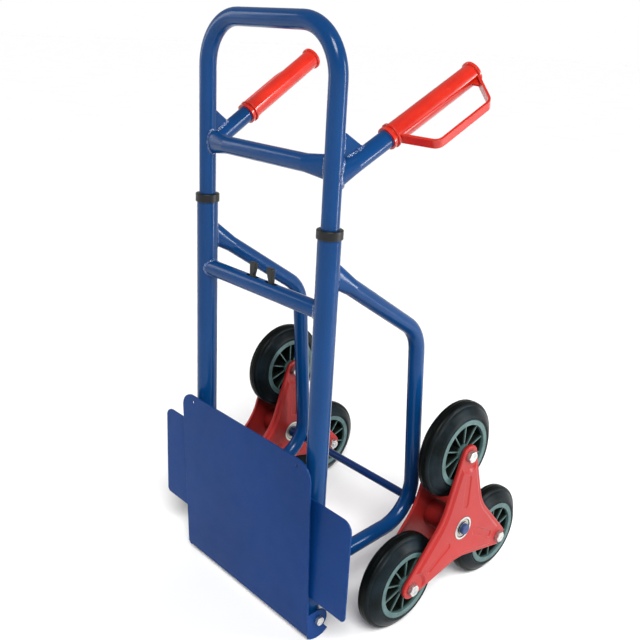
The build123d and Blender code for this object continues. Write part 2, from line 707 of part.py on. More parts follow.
def write_stars():
    per_wheel = {"wheel_bolts": wheel_bolt, "wheel_nuts": wheel_nut, "wheel_sleeves": wheel_sleeve}
    for side in SIDES:
        write(f"star_outer_plate_{side}", on_side(star_plate(outer_face(), 1), side))
        write(f"star_inner_plate_{side}", on_side(star_plate(inner_face(), -1), side))
        write(f"star_hub_tube_{side}", on_side(hub_tube(), side))
        write(f"star_bearings_{side}", *[on_side(ring, side) for ring in star_bearings()])
        for node, make in per_wheel.items():
            write(f"{node}_{side}", *[on_side(make(name), side) for name in arm_points()])


def write_wheels():
    for side in SIDES:
        for name in arm_points():
            place = Pos(SIDES[side] * WHEEL_X, *wheel_centre(name))
            write(f"tyre_{side}_{name}", place * tyre())
            write(f"wheel_rim_{side}_{name}", place * wheel_rim())


os.makedirs("parts", exist_ok=True)
write_frame()
write_handle()
write_lock_and_toe_plate()
write_stars()
write_wheels()
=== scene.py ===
import json
import math
import random

import bmesh
import bpy
from mathutils import Matrix, Vector


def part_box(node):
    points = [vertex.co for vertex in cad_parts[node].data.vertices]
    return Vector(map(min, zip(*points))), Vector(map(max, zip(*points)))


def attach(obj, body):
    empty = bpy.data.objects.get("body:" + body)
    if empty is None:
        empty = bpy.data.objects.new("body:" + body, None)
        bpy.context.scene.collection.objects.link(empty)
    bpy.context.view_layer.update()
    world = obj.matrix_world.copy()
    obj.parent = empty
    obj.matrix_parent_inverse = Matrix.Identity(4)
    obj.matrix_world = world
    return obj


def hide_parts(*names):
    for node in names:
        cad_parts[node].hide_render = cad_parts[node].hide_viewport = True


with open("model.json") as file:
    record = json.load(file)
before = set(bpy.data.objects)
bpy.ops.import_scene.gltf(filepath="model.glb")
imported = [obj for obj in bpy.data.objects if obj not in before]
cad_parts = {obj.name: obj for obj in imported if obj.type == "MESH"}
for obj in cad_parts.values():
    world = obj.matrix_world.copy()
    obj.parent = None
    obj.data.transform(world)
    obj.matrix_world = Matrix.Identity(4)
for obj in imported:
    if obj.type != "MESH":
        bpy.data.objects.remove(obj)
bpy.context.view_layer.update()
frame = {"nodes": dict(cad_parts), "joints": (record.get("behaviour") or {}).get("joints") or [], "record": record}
NODES = frame["nodes"]
MM = 0.001


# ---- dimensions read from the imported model, in metres ---------------------------------------------------

def middle(node):
    low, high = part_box(node)
    return (low + high) / 2


def joint_place(name):
    joint = next(j for j in frame["joints"] if j["name"] == name)
    return Vector(joint["pos_m"])


PLANE_Y = middle("tube_collar_right").y
UPRIGHT_X = middle("tube_collar_right").x
UPPER_R = (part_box("upper_crossbar")[1].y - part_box("upper_crossbar")[0].y) / 2
LOWER_R = (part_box("lower_tube_right")[1].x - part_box("lower_tube_right")[0].x) / 2
UPPER_BAR_Z = middle("upper_crossbar").z
WHEEL_X = abs(joint_place("wheel_right_top").x)
LOWER_BAR_Z = middle("lower_crossbar").z
AXLE_R = (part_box("axle")[1].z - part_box("axle")[0].z) / 2
SIDES = {"left": -1, "right": 1}
ARMS = ("top", "front", "rear")

# Half sizes of the squeezed tube ends, in metres
SQUEEZED = (0.0065, 0.0175)
ARM_ROOT = (0.0082, 0.015)

# Places of the tubes and welds, in millimetres, with Y from the plane of the uprights
POST_X = 135
REAR_TOP = (0, 583)
REAR_CORNER = (197.5, 455)
REAR_LOW_CORNER = (227, 123)
REAR_FOOT = (0, 111.5)
REAR_BEND_CENTRE = (156.28, 184.5)
GRIP_START = (147.5, 81.1, 751.6)
GRIP_END = (163.3, 227.7, 835.0)
ARM_LENGTH = 89
GUSSET_RUN = (8.3, 42)
GUSSET_BEAD_OFF = 1.9
GUSSET_LEG_GAP = 0.7
GUSSET_LEG_Z = (735, 760.5)
GUSSET_ARM_START = (18.5, 730.5)
GUSSET_ARM_END = (43.5, 744.5)
STITCH_Z = (96, 152, 208)
STITCH_LENGTH = 28
STITCH_OFF = 4.6
STITCH_Y = -15.6
PIVOT_Z = joint_place("toe_plate_fold").z / MM
TOE_LEAN_DEG = 2.2
EAR_BEAD_X = 153.6
EAR_BEAD_Y = -19.4
EAR_BEAD_HALF = 16
AXLE_BEAD_X = (124.5, 145.5)
AXLE_BEAD_OFF = 3.4
AXLE_BEAD_LIFT = 0.1

# Angles between faces up to which an added piece is shaded smooth, in degrees
BEAD_SMOOTH_DEG = 60
TYRE_SMOOTH_DEG = 50

# Section of a weld bead as parts of its radius, its ripples, and its thinner ends
BEAD_WIDTH = 1.35
BEAD_HEIGHT = 0.85
RIPPLE_DEPTH = 0.2
RIPPLE_TURN = 2.1
RIPPLE_SCATTER = 0.25
BEAD_END_SIZE = 0.45
BEAD_END_GROWTH = 0.3

# Radii of the weld beads, in millimetres
BEAD_R = {"upper_crossbar": 2.1, "lower_crossbar": 2.0, "rear_tube": 2.1, "side_handle": 2.4, "gusset": 2.2,
          "stitch": 1.4, "ear": 1.1, "axle": 1.5}

# Half of a tyre's outline from the middle of the tread to the rim, as (distance from the middle, radius)
TYRE_HALF_OUTLINE = [
    (0.0, 80.0), (0.4, 79.95), (0.8, 79.7), (4.0, 79.7), (5.6, 79.5), (7.0, 78.9), (8.3, 77.8), (9.6, 76.1),
    (10.3, 75.0), (10.2, 74.4), (10.6, 73.8), (11.3, 73.6), (14.0, 69.7), (16.8, 65.6), (18.2, 63.5),
    (19.2, 61.6), (19.8, 59.8), (20.0, 58.6), (19.4, 58.0), (19.3, 57.2), (19.8, 56.7), (20.0, 56.3),
    (20.0, 55.1)]

# Bearing seams and the bearing rim's painted shade, rim ledges where the rims' painted shade ends, and the tread's
# change to the side walls' painted sheen, in metres
INNER_SEAM_R = 0.0106
OUTER_SEAM_R = 0.0158
SEAM_WIDTH = (0.0002, 0.0009)
BEARING_RIM_R = (0.0190, 0.0199)
SHIELD_EDGES = ((0.0104, 0.0108), (0.0156, 0.016))
TREAD_TO_WALL = (0.0065, 0.0105)
RIM_LEDGE = (0.0135, 0.0172)
RIM_FACE = (0.0206, 0.0216)

# Camera: turned, raised and rolled in degrees, with its place given from the plane of the uprights
CAMERA_TURN = (46.457, 20.176, 2.955)
CAMERA_PLACE = (0.86968, -0.71712, 0.88564)
CAMERA_LENS = 45.69
CAMERA_SHIFT = (0.0085, 0.0061)
CAMERA_SENSOR = 36.0
CAMERA_CLIP = 0.01
FLOOR_HALF = 30.0

# Lights, with places and sizes in metres and power in watts, and the room's bright band by height of view
KEY_SUN = {"place": (1.9, -1.5, 2.7), "angle_deg": 24, "strength": 3.2}
SIDE_STRIP = {"place": (1.5, 1.0, 0.8), "target": (0.0, 0.0, 0.5), "size": (0.2, 1.6), "power": 26}
FILL_STRIP = {"place": (-2.2, -1.4, 1.4), "target": (0.0, 0.0, 0.4), "size": (0.5, 1.8), "power": 12}
ROOM_BAND = {"From Min": 0.04, "From Max": 0.3, "To Min": 1.0, "To Max": 0.36}


# ---- material tools -------------------------------------------------------------------------------------

def srgb(r, g, b):
    """Colour from 0-255 display values, as linear RGBA."""
    def linear(v):
        v = v / 255
        return v / 12.92 if v <= 0.04045 else ((v + 0.055) / 1.055) ** 2.4
    return (linear(r), linear(g), linear(b), 1.0)


class Nodes:
    """Short names for building one node tree."""

    def __init__(self, name):
        self.material = bpy.data.materials.new(name)
        self.material.use_nodes = True
        self.tree = self.material.node_tree
        self.shader = self.tree.nodes["Principled BSDF"]

    def add(self, kind, **settings):
        node = self.tree.nodes.new(kind)
        for key, value in settings.items():
            setattr(node, key, value)
        return node

    def link(self, source, target):
        self.tree.links.new(source, target)

    def set(self, **values):
        for key, value in values.items():
            self.shader.inputs[key.replace("_", " ")].default_value = value

    def coordinates(self):
        return self.add("ShaderNodeTexCoord").outputs["Object"]

    def position(self):
        """X, Y and Z of the shaded point in object space."""
        split = self.add("ShaderNodeSeparateXYZ")
        self.link(self.coordinates(), split.inputs["Vector"])
        return split.outputs

    def off_wheel_plane(self):
        """Distance of the shaded point from the middle plane of the wheels on its side."""
        off_middle = self.math("ABSOLUTE", self.position()["X"])
        return self.math("ABSOLUTE", self.math("SUBTRACT", off_middle, WHEEL_X))

    def noise(self, scale, detail=4.0, roughness=0.5, stretch=(1, 1, 1)):
        """Noise in object space, scale in cycles per metre."""
        mapping = self.add("ShaderNodeMapping")
        mapping.inputs["Scale"].default_value = stretch
        self.link(self.coordinates(), mapping.inputs["Vector"])
        texture = self.add("ShaderNodeTexNoise")
        texture.inputs["Scale"].default_value = scale
        texture.inputs["Detail"].default_value = detail
        texture.inputs["Roughness"].default_value = roughness
        self.link(mapping.outputs["Vector"], texture.inputs["Vector"])
        return texture.outputs["Fac"]

    def remap(self, value, low, high, to_low, to_high):
        node = self.add("ShaderNodeMapRange", clamp=True)
        self.link(value, node.inputs["Value"])
        for key, number in (("From Min", low), ("From Max", high), ("To Min", to_low), ("To Max", to_high)):
            node.inputs[key].default_value = number
        return node.outputs["Result"]

    def mix(self, factor, first, second):
        node = self.add("ShaderNodeMix", data_type="RGBA")
        self.link(factor, node.inputs["Factor"])
        for socket, value in ((node.inputs["A"], first), (node.inputs["B"], second)):
            if isinstance(value, tuple):
                socket.default_value = value
            else:
                self.link(value, socket)
        return node.outputs["Result"]

    def math(self, operation, first, second=0.0):
        node = self.add("ShaderNodeMath", operation=operation)
        for socket, value in zip(node.inputs, (first, second)):
            if isinstance(value, (int, float)):
                socket.default_value = value
            else:
                self.link(value, socket)
        return node.outputs["Value"]

    def edge(self, radius, low=0.02, high=0.25):
        """1 along convex edges, 0 on the faces, from the rounded normal."""
        bevel = self.add("ShaderNodeBevel", samples=6)
        bevel.inputs["Radius"].default_value = radius
        geometry = self.add("ShaderNodeNewGeometry")
        dot = self.add("ShaderNodeVectorMath", operation="DOT_PRODUCT")
        self.link(bevel.outputs["Normal"], dot.inputs[0])
        self.link(geometry.outputs["Normal"], dot.inputs[1])
        turned = self.math("SUBTRACT", 1.0, dot.outputs["Value"])
        return bevel.outputs["Normal"], self.remap(turned, low, high, 0.0, 1.0)

    def shade_in_hollows(self, colour, distance, darkest):
        """Darken a colour where the surface faces other surfaces closer than the distance."""
        hollow = self.add("ShaderNodeAmbientOcclusion", samples=8)
        hollow.inputs["Distance"].default_value = distance
        light = self.remap(hollow.outputs["AO"], 0.25, 0.85, darkest, 1.0)
        dark = self.add("ShaderNodeMix", data_type="RGBA", blend_type="MULTIPLY")
        dark.inputs["Factor"].default_value = 1.0
        self.link(colour, dark.inputs["A"])
        self.link(light, dark.inputs["B"])
        return dark.outputs["Result"]

    def bump(self, height, distance, normal=None, strength=1.0):
        node = self.add("ShaderNodeBump")
        node.inputs["Distance"].default_value = distance
        node.inputs["Strength"].default_value = strength
        self.link(height, node.inputs["Height"])
        if normal is not None:
            self.link(normal, node.inputs["Normal"])
        return node.outputs["Normal"]

    def finish(self, colour, roughness, normal=None):
        self.link(colour, self.shader.inputs["Base Color"])
        self.link(roughness, self.shader.inputs["Roughness"])
        if normal is not None:
            self.link(normal, self.shader.inputs["Normal"])
        return self.material


def gloss_paint(name, colour, light, edge_radius, rough=(0.12, 0.24), specular=0.17, coat=0.08, hollow=None):
    """Enamel over steel: orange peel, cloudy tone, paler edges in patches (thin paint and a painted highlight),
    and painted shade in hollows when asked.
    """
    n = Nodes(name)
    normal, edge = n.edge(edge_radius)
    cloud = n.remap(n.noise(7.0, 3.0), 0.35, 0.65, 0.0, 1.0)
    fleck = n.remap(n.noise(900.0, 2.0), 0.62, 0.78, 0.0, 0.12)
    shade = tuple(c * 0.84 for c in colour[:3]) + (1.0,)
    tone = n.mix(cloud, shade, colour)
    tone = n.mix(fleck, tone, light)
    # Painted highlight: convex edges turn paler in patches, partly where the paint is thin.
    tone = n.mix(n.math("MULTIPLY", edge, n.remap(n.noise(160.0, 3.0), 0.4, 0.7, 0.04, 0.4)), tone, light)
    if hollow is not None:
        tone = n.shade_in_hollows(tone, *hollow)
    rough_map = n.remap(n.noise(35.0, 4.0), 0.3, 0.7, rough[0], rough[1])
    n.set(Coat_Weight=coat, Coat_Roughness=0.08, Specular_IOR_Level=specular)
    return n.finish(tone, rough_map, n.bump(n.noise(420.0, 2.0), 0.00012, normal, 0.3))


def bead_paint():
    """Thick glossy paint that gathers on a weld, rippled, with pale specks that are painted glints."""
    n = Nodes("bead_paint")
    cloud = n.remap(n.noise(60.0, 3.0), 0.35, 0.65, 0.0, 1.0)
    # Painted glints: pale specks scattered over the bead.
    glint_specks = n.remap(n.noise(520.0, 4.0, 0.7), 0.52, 0.66, 0.0, 0.75)
    tone = n.mix(cloud, srgb(8, 42, 88), srgb(14, 58, 116))
    tone = n.mix(glint_specks, tone, srgb(120, 150, 196))
    n.set(Coat_Weight=0.7, Coat_Roughness=0.06, Specular_IOR_Level=0.5)
    rough = n.remap(n.noise(200.0, 3.0), 0.3, 0.7, 0.08, 0.2)
    return n.finish(tone, rough, n.bump(n.noise(650.0, 3.0), 0.0009))


def zinc():
    """Bright zinc plating with a faint warm and blue mottling, and a painted highlight along its edges."""
    n = Nodes("zinc")
    normal, edge = n.edge(0.0005)
    mottle = n.remap(n.noise(260.0, 4.0), 0.35, 0.65, 0.0, 1.0)
    tone = n.mix(mottle, srgb(172, 176, 182), srgb(214, 212, 204))
    # Painted highlight: edges turn near white.
    tone = n.mix(edge, tone, srgb(240, 240, 238))
    rough = n.remap(n.noise(500.0, 3.0), 0.3, 0.7, 0.24, 0.46)
    n.set(Metallic=0.9)
    return n.finish(tone, rough, n.bump(n.noise(1400.0, 3.0), 0.00004, normal, 0.5))


def bearing_steel():
    """Ground races with rust specks, a dull shield between them, dirt in the seams round the shield, painted shade
    round the outer rim, and a painted highlight on the edges.
    """
    n = Nodes("bearing_steel")
    normal, edge = n.edge(0.0004)
    axis = joint_place("star_right")
    place = n.position()
    off_y = n.math("POWER", n.math("SUBTRACT", place["Y"], axis.y), 2.0)
    off_z = n.math("POWER", n.math("SUBTRACT", place["Z"], axis.z), 2.0)
    radius = n.math("SQRT", n.math("ADD", off_y, off_z))
    inner_seam = n.remap(n.math("ABSOLUTE", n.math("SUBTRACT", radius, INNER_SEAM_R)), *SEAM_WIDTH, 1.0, 0.0)
    outer_seam = n.remap(n.math("ABSOLUTE", n.math("SUBTRACT", radius, OUTER_SEAM_R)), *SEAM_WIDTH, 1.0, 0.0)
    # Painted shade: the bearing darkens towards its outer rim.
    rim = n.remap(radius, *BEARING_RIM_R, 0.0, 0.8)
    shield_from, shield_to = SHIELD_EDGES
    shield = n.math("MULTIPLY", n.remap(radius, *shield_from, 0.0, 1.0),
                    n.remap(radius, *shield_to, 0.6, 0.0))
    specks = n.remap(n.noise(1300.0, 3.0, 0.7), 0.56, 0.70, 0.0, 0.8)
    tone = n.mix(shield, srgb(205, 205, 200), srgb(142, 140, 132))
    tone = n.mix(specks, tone, srgb(110, 92, 70))
    # Painted highlight along the edges.
    tone = n.mix(edge, tone, srgb(238, 238, 236))
    # Dirt in the seams and painted shade at the rim share one dark colour.
    tone = n.mix(n.math("MAXIMUM", n.math("MAXIMUM", inner_seam, outer_seam), rim), tone, srgb(46, 34, 28))
    rough = n.remap(n.noise(800.0, 2.0), 0.3, 0.7, 0.2, 0.5)
    n.set(Metallic=0.85)
    return n.finish(tone, rough, n.bump(n.noise(1600.0, 3.0), 0.00004, normal, 0.5))


def rubber():
    """Moulded solid rubber: brown-black tread, a blue-grey painted sheen on the side walls, fine grain."""
    n = Nodes("tyre_rubber")
    off_plane = n.off_wheel_plane()
    side_wall = n.remap(off_plane, *TREAD_TO_WALL, 0.0, 1.0)
    dust = n.remap(n.noise(22.0, 5.0), 0.4, 0.7, 0.0, 1.0)
    tread = n.mix(dust, srgb(2, 4, 3), srgb(10, 12, 9))
    # Painted sheen: the side walls are blue-grey.
    wall = n.mix(dust, srgb(6, 12, 13), srgb(22, 34, 40))
    tone = n.mix(side_wall, tread, wall)
    fine = n.remap(n.noise(900.0, 3.0), 0.5, 0.8, 0.0, 0.3)
    tone = n.mix(fine, tone, srgb(48, 54, 60))
    rough = n.remap(n.noise(60.0, 4.0), 0.3, 0.7, 0.3, 0.46)
    n.set(Specular_IOR_Level=0.07)
    return n.finish(tone, rough, n.bump(n.noise(1500.0, 3.0), 0.00005, None, 0.5))


def rim_plastic():
    """Grey-green moulding whose thin web, deep between the ribs, is painted nearly black as painted shade, with a
    painted highlight on the ledge edges.
    """
    n = Nodes("rim_plastic")
    normal, edge = n.edge(0.0006)
    off_plane = n.off_wheel_plane()
    # Painted shade: only the ledges near the rim's face keep the pale tone; the web deep between the ribs and the
    # parts past the face go dark.
    ledge = n.remap(off_plane, *RIM_LEDGE, 0.0, 1.0)
    ledge = n.math("MULTIPLY", ledge, n.remap(off_plane, *RIM_FACE, 1.0, 0.3))
    cloud = n.remap(n.noise(60.0, 4.0), 0.3, 0.7, 0.0, 1.0)
    pale = n.mix(cloud, srgb(58, 84, 84), srgb(80, 106, 106))
    tone = n.mix(ledge, srgb(10, 17, 12), pale)
    # Painted highlight along the ledge edges.
    tone = n.mix(n.math("MULTIPLY", edge, ledge), tone, srgb(130, 150, 142))
    rough = n.remap(n.noise(90.0, 3.0), 0.3, 0.7, 0.38, 0.55)
    n.set(Specular_IOR_Level=0.25)
    return n.finish(tone, rough, n.bump(n.noise(1200.0, 3.0), 0.00003, normal, 0.4))


def grip_plastic():
    """Soft glossy moulding with flow marks along the grip, and a painted highlight on its edges."""
    n = Nodes("grip_plastic")
    normal, edge = n.edge(0.0008)
    flow = n.remap(n.noise(30.0, 4.0, 0.6, (3, 0.7, 1)), 0.3, 0.7, 0.0, 1.0)
    tone = n.mix(flow, srgb(180, 22, 5), srgb(198, 36, 12))
    # Painted highlight: pale pink along the edges.
    tone = n.mix(n.math("MULTIPLY", edge, 0.5), tone, srgb(255, 110, 72))
    rough = n.remap(n.noise(120.0, 3.0), 0.3, 0.7, 0.16, 0.28)
    n.set(Coat_Weight=0.5, Coat_Roughness=0.08, Specular_IOR_Level=0.3)
    return n.finish(tone, rough, n.bump(n.noise(700.0, 3.0), 0.00003, normal, 0.4))


def black_plastic(name="black_plastic", colour=(18, 19, 19)):
    """Satin moulded plastic with a fine grain and a painted highlight along its edges."""
    n = Nodes(name)
    normal, edge = n.edge(0.0006)
    cloud = n.remap(n.noise(80.0, 4.0), 0.3, 0.7, 0.0, 1.0)
    tone = n.mix(cloud, srgb(*(c * 0.8 for c in colour)), srgb(*(c * 1.25 for c in colour)))
    # Painted highlight: grey along the convex edges.
    tone = n.mix(n.math("MULTIPLY", edge, 0.6), tone, srgb(92, 95, 98))
    rough = n.remap(n.noise(150.0, 3.0), 0.3, 0.7, 0.34, 0.5)
    n.set(Specular_IOR_Level=0.3)
    return n.finish(tone, rough, n.bump(n.noise(1800.0, 2.0), 0.00004, normal, 0.5))


def spring_steel():
    n = Nodes("spring_steel")
    tone = n.mix(n.remap(n.noise(300.0, 3.0), 0.3, 0.7, 0.0, 1.0), srgb(96, 96, 100), srgb(150, 150, 152))
    n.set(Metallic=0.9)
    return n.finish(tone, n.remap(n.noise(500.0, 3.0), 0.3, 0.7, 0.28, 0.45))


MATERIALS = {
    "blue_tube": gloss_paint("blue_tube", srgb(6, 57, 108), srgb(96, 134, 196), 0.0008),
    "blue_sheet": gloss_paint("blue_sheet", srgb(5, 50, 108), srgb(112, 146, 196), 0.0009,
                              rough=(0.34, 0.46), specular=0.08, coat=0.03),
    "axle_paint": gloss_paint("axle_paint", srgb(10, 40, 88), srgb(70, 104, 160), 0.0006),
    "star_paint": gloss_paint("star_paint", srgb(160, 38, 36), srgb(214, 104, 98), 0.0012,
                              rough=(0.3, 0.42), specular=0.2, coat=0.05, hollow=(0.05, 0.4)),
    "bearing_steel": bearing_steel(),
    "grip_plastic": grip_plastic(),
    "tyre_rubber": rubber(),
    "rim_plastic": rim_plastic(),
    "black_plastic": black_plastic(),
    "cap_plastic": black_plastic("cap_plastic", (34, 52, 92)),
    "zinc_steel": zinc(),
    "spring_steel": spring_steel(),
}
BEAD_PAINT = bead_paint()


def dress_frame():
    """Give every CAD node the detailed material of its slot."""
    for part in frame["record"]["subparts"]:
        mesh_object = NODES[part["node"]]
        for slot in mesh_object.material_slots:
            slot.material = MATERIALS[part["material_slot"]]


# ---- mesh tools -----------------------------------------------------------------------------------------

def add_piece(name, mesh, body, slot, smooth_deg, material=None):
    """Link a mesh as a piece that rides on a body, with the given material or else the material of the slot."""
    piece = bpy.data.objects.new(name, mesh)
    bpy.context.scene.collection.objects.link(piece)
    mesh.materials.append(material or MATERIALS[slot])
    for polygon in mesh.polygons:
        polygon.use_smooth = True
    mesh.set_sharp_from_angle(angle=math.radians(smooth_deg))
    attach(piece, body)
    return piece


def keep_mesh(name, mesh):
    """Turn the normals of an edit mesh outward and store it."""
    bmesh.ops.recalc_face_normals(mesh, faces=mesh.faces)
    data = bpy.data.meshes.new(name)
    mesh.to_mesh(data)
    mesh.free()
    return data


def bead_mesh(name, points, outward, radius, closed, rng, sides=8):
    """Weld bead: a flattened rope along the points, with the ripples that a welder leaves."""
    mesh = bmesh.new()
    rings = []
    count = len(points)
    for index, point in enumerate(points):
        before = points[(index - 1) % count] if closed or index > 0 else point
        after = points[(index + 1) % count] if closed or index < count - 1 else point
        along = (after - before).normalized()
        up = (outward[index] - along * outward[index].dot(along)).normalized()
        across = along.cross(up)
        scatter = rng.uniform(-RIPPLE_SCATTER, RIPPLE_SCATTER)
        ripple = 1 + RIPPLE_DEPTH * math.sin(index * RIPPLE_TURN) + scatter
        from_end = min(index, count - 1 - index)
        end_taper = 1.0 if closed else min(1.0, BEAD_END_SIZE + BEAD_END_GROWTH * from_end)
        size = radius * ripple * end_taper
        ring = []
        for step in range(sides):
            angle = 2 * math.pi * step / sides
            offset = across * math.cos(angle) * BEAD_WIDTH + up * math.sin(angle) * BEAD_HEIGHT
            ring.append(mesh.verts.new(point + offset * size))
        rings.append(ring)
    spans = range(count) if closed else range(count - 1)
    for index in spans:
        first, second = rings[index], rings[(index + 1) % count]
        for step in range(sides):
            mesh.faces.new((first[step], second[step], second[(step + 1) % sides], first[(step + 1) % sides]))
    if not closed:
        mesh.faces.new(rings[0])
        mesh.faces.new(list(reversed(rings[-1])))
    return keep_mesh(name, mesh)


# ---- weld beads -----------------------------------------------------------------------------------------

Z_AXIS = Vector((0, 0, 1))


def point(x, y, z):
    """A point given in millimetres, with Y from the plane of the uprights."""
    return Vector((x * MM, PLANE_Y + y * MM, z * MM))


def toe_point(x, y, z):
    """A point of the folded toe plate given about its pivot, leaned as the plate leans."""
    lean = math.radians(TOE_LEAN_DEG)
    leaned_y = y * math.cos(lean) - z * math.sin(lean)
    leaned_z = y * math.sin(lean) + z * math.cos(lean)
    return point(x, leaned_y, PIVOT_Z + leaned_z)


def around_post(start, along, half_w, half_h, post_x, post_r, count=56):
    """Closed line where an oval tube runs into a vertical post, with the way out of the corner all along."""
    wide = along.cross(Z_AXIS).normalized()
    high = wide.cross(along).normalized()
    line, outward = [], []
    for step in range(count):
        angle = 2 * math.pi * step / count
        radial = wide * (half_w * math.cos(angle)) + high * (half_h * math.sin(angle))
        base = start + radial
        off_x, off_y = base.x - post_x, base.y - PLANE_Y
        a = along.x ** 2 + along.y ** 2
        b = off_x * along.x + off_y * along.y
        c = off_x ** 2 + off_y ** 2 - post_r ** 2
        travel = (-b + math.sqrt(max(b * b - a * c, 0.0))) / a
        place = base + along * travel
        post_out = Vector((place.x - post_x, place.y - PLANE_Y, 0)).normalized()
        line.append(place)
        outward.append((radial.normalized() + post_out).normalized())
    return line, outward


def straight(start, end, out, step=0.0016):
    count = max(4, round((end - start).length / step))
    line = [start.lerp(end, i / count) for i in range(count + 1)]
    return line, [out] * len(line)


def add_bead(name, line_and_outward, body, slot, radius, closed=True):
    line, outward = line_and_outward
    rng = random.Random(name)
    mesh = bead_mesh(name, line, outward, radius * MM, closed, rng)
    add_piece(name, mesh, body, slot, BEAD_SMOOTH_DEG, BEAD_PAINT)


def weld_crossbars():
    for side, way in SIDES.items():
        inward = Vector((-way, 0, 0))
        upper = around_post(point(way * POST_X, 0, UPPER_BAR_Z / MM), inward, *SQUEEZED,
                            way * UPRIGHT_X, UPPER_R)
        add_bead(f"weld_upper_crossbar_{side}", upper, "handle", "blue_tube", BEAD_R["upper_crossbar"])
        lower = around_post(point(way * POST_X, 0, LOWER_BAR_Z / MM), inward, UPPER_R, UPPER_R,
                            way * UPRIGHT_X, LOWER_R)
        add_bead(f"weld_lower_crossbar_{side}", lower, "frame", "blue_tube", BEAD_R["lower_crossbar"])


def weld_rear_tubes():
    for side, way in SIDES.items():
        top_along = Vector((0, *(b - a for a, b in zip(REAR_TOP, REAR_CORNER)))).normalized()
        top = around_post(point(way * POST_X, *REAR_TOP), top_along, *SQUEEZED, way * UPRIGHT_X, LOWER_R)
        add_bead(f"weld_rear_tube_top_{side}", top, "frame", "blue_tube", BEAD_R["rear_tube"])
        low_along = Vector((0, *(b - a for a, b in zip(REAR_FOOT, REAR_LOW_CORNER)))).normalized()
        low = around_post(point(way * POST_X, *REAR_FOOT), low_along, UPPER_R, UPPER_R,
                          way * UPRIGHT_X, LOWER_R)
        add_bead(f"weld_rear_tube_low_{side}", low, "frame", "blue_tube", BEAD_R["rear_tube"])


def weld_side_handles():
    for side, way in SIDES.items():
        start = point(way * GRIP_START[0], *GRIP_START[1:])
        end = point(way * GRIP_END[0], *GRIP_END[1:])
        along = (end - start).normalized()
        root = around_post(start - along * (ARM_LENGTH * MM), along, *ARM_ROOT, way * UPRIGHT_X, UPPER_R)
        add_bead(f"weld_side_handle_{side}", root, "handle", "blue_tube", BEAD_R["side_handle"])
        out = Vector((way * GUSSET_RUN[0], GUSSET_RUN[1], 0)).normalized()
        across = out.cross(Z_AXIS)
        for number, edge in enumerate((-1, 1)):
            base = point(way * POST_X, 0, 0) + across * (edge * GUSSET_BEAD_OFF * MM)
            foot = base + out * (UPPER_R + GUSSET_LEG_GAP * MM)
            low, high = (foot + Z_AXIS * (z * MM) for z in GUSSET_LEG_Z)
            leg = straight(low, high, (out + across * edge).normalized())
            add_bead(f"weld_gusset_leg_{side}_{number + 1}", leg, "handle", "blue_tube",
                     BEAD_R["gusset"], False)
            near, far = (base + out * (reach * MM) + Z_AXIS * (z * MM)
                         for reach, z in (GUSSET_ARM_START, GUSSET_ARM_END))
            arm = straight(near, far, (Z_AXIS + across * edge).normalized())
            add_bead(f"weld_gusset_arm_{side}_{number + 1}", arm, "handle", "blue_tube",
                     BEAD_R["gusset"], False)


def weld_sheets():
    """Stitches between the back plate and the uprights, and a bead inside each ear of the toe plate."""
    for side, way in SIDES.items():
        for number, z in enumerate(STITCH_Z):
            for name, edge in (("inner", -1), ("outer", 1)):
                x = way * (POST_X + edge * STITCH_OFF)
                out = Vector((way * edge, 1, 0)).normalized()
                stitch = straight(point(x, STITCH_Y, z), point(x, STITCH_Y, z + STITCH_LENGTH), out)
                add_bead(f"weld_back_plate_{side}_{name}_{number + 1}", stitch, "frame", "blue_tube",
                         BEAD_R["stitch"], False)
        low, high = (toe_point(way * EAR_BEAD_X, EAR_BEAD_Y, z) for z in (-EAR_BEAD_HALF, EAR_BEAD_HALF))
        ear = straight(low, high, Vector((-way, 1, 0)).normalized())
        add_bead(f"weld_toe_ear_{side}", ear, "toe_plate", "blue_sheet", BEAD_R["ear"], False)


def weld_axle():
    """Short beads on both sides of the axle where it lies against each rear tube."""
    axle = joint_place("star_right")
    centre = Vector((0, PLANE_Y + REAR_BEND_CENTRE[0] * MM, REAR_BEND_CENTRE[1] * MM))
    towards = (centre - Vector((0, axle.y, axle.z))).normalized()
    contact = Vector((0, axle.y, axle.z)) + towards * AXLE_R
    side_way = Vector((0, -towards.z, towards.y))
    for side, way in SIDES.items():
        for name, edge in (("above", 1), ("below", -1)):
            line = contact + side_way * (edge * AXLE_BEAD_OFF * MM) + towards * (AXLE_BEAD_LIFT * MM)
            low, high = (line + Vector((way * x * MM, 0, 0)) for x in AXLE_BEAD_X)
            bead = straight(low, high, side_way * edge)
            add_bead(f"weld_axle_{side}_{name}", bead, "frame", "axle_paint", BEAD_R["axle"], False)


# ---- tyres ----------------------------------------------------------------------------------------------

def lathe_mesh(name, profile, centre, segments=180):
    """Turn a closed profile of (x, radius) in millimetres about the X axis."""
    mesh = bmesh.new()
    rings = []
    for step in range(segments):
        angle = 2 * math.pi * step / segments
        rings.append([mesh.verts.new(centre + Vector((x, r * math.cos(angle), r * math.sin(angle))) * MM)
                      for x, r in profile])
    count = len(profile)
    for step in range(segments):
        first, second = rings[step], rings[(step + 1) % segments]
        for k in range(count):
            mesh.faces.new((first[k], second[k], second[(k + 1) % count], first[(k + 1) % count]))
    return keep_mesh(name, mesh)


def make_tyres():
    """Tyres with a parting line round the tread, rounded shoulders and rings moulded in the side walls."""
    profile = TYRE_HALF_OUTLINE + [(-x, r) for x, r in reversed(TYRE_HALF_OUTLINE[1:])]
    for side in SIDES:
        for arm in ARMS:
            centre = joint_place(f"wheel_{side}_{arm}")
            name = f"moulded_tyre_{side}_{arm}"
            mesh = lathe_mesh(name, profile, centre)
            tyre = add_piece(name, mesh, f"wheel_{side}_{arm}", "tyre_rubber", TYRE_SMOOTH_DEG)
            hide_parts(f"tyre_{side}_{arm}")


